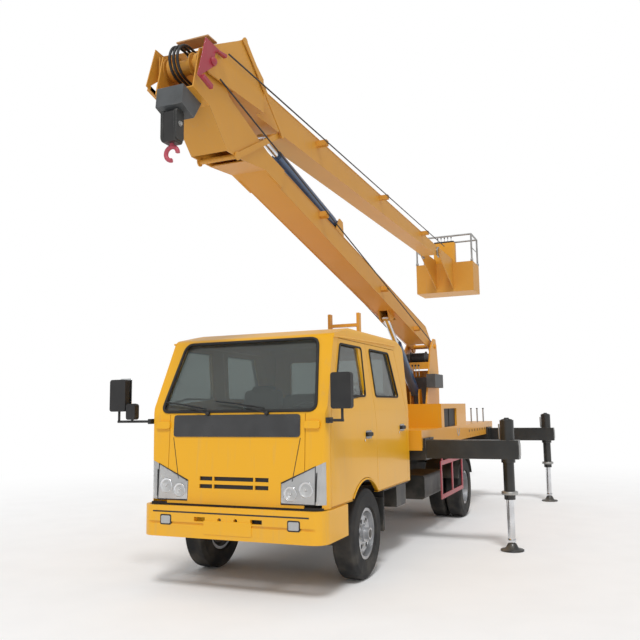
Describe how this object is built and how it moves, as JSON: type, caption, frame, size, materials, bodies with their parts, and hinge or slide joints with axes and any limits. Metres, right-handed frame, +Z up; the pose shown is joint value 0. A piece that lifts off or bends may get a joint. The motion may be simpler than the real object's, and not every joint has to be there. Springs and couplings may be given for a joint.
{
  "type": "cherry picker truck",
  "caption": "Crew-cab truck with side outriggers, slewing turret, folding two-part lift boom with hoist hook, and a railed work basket.",
  "frame": {"origin": "on the ground, midway between the object's front and rear ends and on its middle plane", "axes": "+X to the vehicle's left, +Y towards its rear, +Z up"},
  "size_m": [3.92, 9.5608, 4.737],
  "materials": {
    "cab_paint": "gloss coat",
    "body_paint": "satin coat",
    "steel_parts": "satin",
    "frame_black": "satin",
    "rod_chrome": "polished",
    "cylinder_blue": "gloss coat",
    "signal_red": "satin coat",
    "tyre": "matt",
    "rim_silver": "satin coat",
    "glass": "clear tint",
    "lamp_plastic": "clear",
    "trim_black": "matt",
    "cabin_trim": "woven",
    "machine_grey": "satin"
  },
  "bodies": {
    "truck": {"chassis_frame": "frame_black", "axles": "frame_black", "chassis_equipment": "frame_black", "cab_shell": "cab_paint", "front_panel": "cab_paint", "cab_glass": "glass", "cab_interior": "cabin_trim", "bumper": "cab_paint", "lamps": "lamp_plastic", "mirrors": "trim_black", "toolbox": "body_paint", "deck": "body_paint", "boom_rest": "body_paint", "side_guards": "signal_red"},
    "steer_left": {"knuckle_left": "frame_black"},
    "front_wheel_left": {"front_tyre_left": "tyre", "front_rim_left": "rim_silver"},
    "rear_wheels_left": {"rear_tyres_left": "tyre", "rear_rims_left": "rim_silver"},
    "front_door_left": {"front_door_left": "cab_paint", "front_door_glass_left": "glass"},
    "rear_door_left": {"rear_door_left": "cab_paint", "rear_door_glass_left": "glass"},
    "steer_right": {"knuckle_right": "frame_black"},
    "front_wheel_right": {"front_tyre_right": "tyre", "front_rim_right": "rim_silver"},
    "rear_wheels_right": {"rear_tyres_right": "tyre", "rear_rims_right": "rim_silver"},
    "front_door_right": {"front_door_right": "cab_paint", "front_door_glass_right": "glass"},
    "rear_door_right": {"rear_door_right": "cab_paint", "rear_door_glass_right": "glass"},
    "beam_front_left": {"beam_front_left": "frame_black"},
    "leg_front_left": {"leg_front_left": "rod_chrome"},
    "beam_front_right": {"beam_front_right": "frame_black"},
    "leg_front_right": {"leg_front_right": "rod_chrome"},
    "beam_rear_left": {"beam_rear_left": "frame_black"},
    "leg_rear_left": {"leg_rear_left": "rod_chrome"},
    "beam_rear_right": {"beam_rear_right": "frame_black"},
    "leg_rear_right": {"leg_rear_right": "rod_chrome"},
    "turret": {"turret_frame": "body_paint", "turret_equipment": "machine_grey"},
    "lower_boom": {"lower_boom": "body_paint", "elbow_shaft": "body_paint", "elbow_covers": "signal_red", "lower_lines": "trim_black", "sheave_box": "frame_black"},
    "upper_boom": {"upper_boom": "body_paint", "upper_lines": "trim_black"},
    "luff_barrel": {"luff_barrel": "cylinder_blue"},
    "luff_rod": {"luff_rod": "rod_chrome"},
    "fold_barrel": {"fold_barrel": "cylinder_blue"},
    "fold_rod": {"fold_rod": "rod_chrome"},
    "lower_link": {"lower_link": "body_paint"},
    "upper_link": {"upper_link": "body_paint"},
    "levelling_drum": {"levelling_drum": "body_paint"},
    "basket": {"basket_tub": "body_paint", "basket_rails": "steel_parts"},
    "hook": {"hook_block": "signal_red"}
  },
  "joints": [
    {"name": "steer_left", "type": "hinge", "parent": "truck", "child": "steer_left", "pos_m": [0.6295, -2.9, 0.388], "axis": [0, 0, 1], "range_deg": [-35, 35]},
    {"name": "front_wheel_left", "type": "hinge", "parent": "steer_left", "child": "front_wheel_left", "pos_m": [0.7375, -2.9, 0.388], "axis": [1, 0, 0], "continuous": true},
    {"name": "rear_wheels_left", "type": "hinge", "parent": "truck", "child": "rear_wheels_left", "pos_m": [0.7125, 0.915, 0.388], "axis": [1, 0, 0], "continuous": true},
    {"name": "front_door_left", "type": "hinge", "parent": "truck", "child": "front_door_left", "pos_m": [0.83, -3.722, 1.2], "axis": [0, 0, -1], "range_deg": [0, 65]},
    {"name": "rear_door_left", "type": "hinge", "parent": "truck", "child": "rear_door_left", "pos_m": [0.83, -2.56, 1.2], "axis": [0, 0, -1], "range_deg": [0, 65]},
    {"name": "steer_right", "type": "hinge", "parent": "truck", "child": "steer_right", "pos_m": [-0.6295, -2.9, 0.388], "axis": [0, 0, 1], "range_deg": [-35, 35]},
    {"name": "front_wheel_right", "type": "hinge", "parent": "steer_right", "child": "front_wheel_right", "pos_m": [-0.7375, -2.9, 0.388], "axis": [1, 0, 0], "continuous": true},
    {"name": "rear_wheels_right", "type": "hinge", "parent": "truck", "child": "rear_wheels_right", "pos_m": [-0.7125, 0.915, 0.388], "axis": [1, 0, 0], "continuous": true},
    {"name": "front_door_right", "type": "hinge", "parent": "truck", "child": "front_door_right", "pos_m": [-0.83, -3.722, 1.2], "axis": [0, 0, 1], "range_deg": [0, 65]},
    {"name": "rear_door_right", "type": "hinge", "parent": "truck", "child": "rear_door_right", "pos_m": [-0.83, -2.56, 1.2], "axis": [0, 0, 1], "range_deg": [0, 65]},
    {"name": "slide_front_left", "type": "slide", "parent": "truck", "child": "beam_front_left", "axis": [1, 0, 0], "range_m": [-0.76, 0]},
    {"name": "jack_front_left", "type": "slide", "parent": "beam_front_left", "child": "leg_front_left", "axis": [0, 0, -1], "range_m": [-0.36, 0]},
    {"name": "slide_front_right", "type": "slide", "parent": "truck", "child": "beam_front_right", "axis": [-1, 0, 0], "range_m": [-0.76, 0]},
    {"name": "jack_front_right", "type": "slide", "parent": "beam_front_right", "child": "leg_front_right", "axis": [0, 0, -1], "range_m": [-0.36, 0]},
    {"name": "slide_rear_left", "type": "slide", "parent": "truck", "child": "beam_rear_left", "axis": [1, 0, 0], "range_m": [-0.76, 0]},
    {"name": "jack_rear_left", "type": "slide", "parent": "beam_rear_left", "child": "leg_rear_left", "axis": [0, 0, -1], "range_m": [-0.36, 0]},
    {"name": "slide_rear_right", "type": "slide", "parent": "truck", "child": "beam_rear_right", "axis": [-1, 0, 0], "range_m": [-0.76, 0]},
    {"name": "jack_rear_right", "type": "slide", "parent": "beam_rear_right", "child": "leg_rear_right", "axis": [0, 0, -1], "range_m": [-0.36, 0]},
    {"name": "slew", "type": "hinge", "parent": "truck", "child": "turret", "pos_m": [0, 2.1, 1.235], "axis": [0, 0, 1], "continuous": true},
    {"name": "luff", "type": "hinge", "parent": "turret", "child": "lower_boom", "pos_m": [0, 2.335, 2.46], "axis": [-1, 0, 0], "range_deg": [-10.3, 61]},
    {"name": "fold", "type": "hinge", "parent": "lower_boom", "child": "upper_boom", "pos_m": [0, -4.53454, 4.16513], "axis": [1, 0, 0], "range_deg": [-1.5, 136]},
    {"name": "luff_barrel", "type": "hinge", "parent": "turret", "child": "luff_barrel", "pos_m": [0, 1.86, 1.7], "axis": [1, 0, 0], "range_deg": [-51.29, 9.08]},
    {"name": "luff_rod", "type": "slide", "parent": "luff_barrel", "child": "luff_rod", "axis": [0, -0.8115, 0.5844], "range_m": [-0.146, 0.8496]},
    {"name": "fold_barrel", "type": "hinge", "parent": "lower_boom", "child": "fold_barrel", "pos_m": [0, -1.44567, 3.6251], "axis": [1, 0, 0], "range_deg": [-6.34, 0.56]},
    {"name": "fold_rod", "type": "slide", "parent": "fold_barrel", "child": "fold_rod", "axis": [0, -0.9766, 0.2151], "range_m": [-0.0163, 1.2064]},
    {"name": "lower_link", "type": "hinge", "parent": "lower_boom", "child": "lower_link", "pos_m": [0, -4.06666, 3.57195], "axis": [1, 0, 0], "range_deg": [-1.42, 84.3]},
    {"name": "upper_link", "type": "hinge", "parent": "upper_boom", "child": "upper_link", "pos_m": [0, -3.98951, 4.59961], "axis": [1, 0, 0], "range_deg": [-96.77, 1.56]},
    {"name": "level", "type": "hinge", "parent": "upper_boom", "child": "levelling_drum", "pos_m": [0, 3.16038, 4.20005], "axis": [-1, 0, 0], "range_deg": [-61.5, 10.8]},
    {"name": "basket", "type": "hinge", "parent": "levelling_drum", "child": "basket", "pos_m": [0, 3.16038, 4.20005], "axis": [1, 0, 0], "range_deg": [-136.5, 2]},
    {"name": "hook_swing", "type": "hinge", "parent": "lower_boom", "child": "hook", "pos_m": [0, -4.73052, 3.73373], "axis": [1, 0, 0], "range_deg": [-12, 12]}
  ],
  "couplings": [
    {"joint": "steer_right", "follows": "steer_left", "ratio": 1},
    {"joint": "luff_barrel", "follows": "luff", "ratio": -0.8326},
    {"joint": "luff_rod", "follows": "luff", "m_per_rad": 0.7952},
    {"joint": "fold_barrel", "follows": "fold", "ratio": -0.04296},
    {"joint": "fold_rod", "follows": "fold", "m_per_rad": 0.50698},
    {"joint": "lower_link", "follows": "fold", "ratio": 0.6162},
    {"joint": "upper_link", "follows": "fold", "ratio": -0.7079},
    {"joint": "level", "follows": "luff", "ratio": -1},
    {"joint": "basket", "follows": "fold", "ratio": -1}
  ]
}
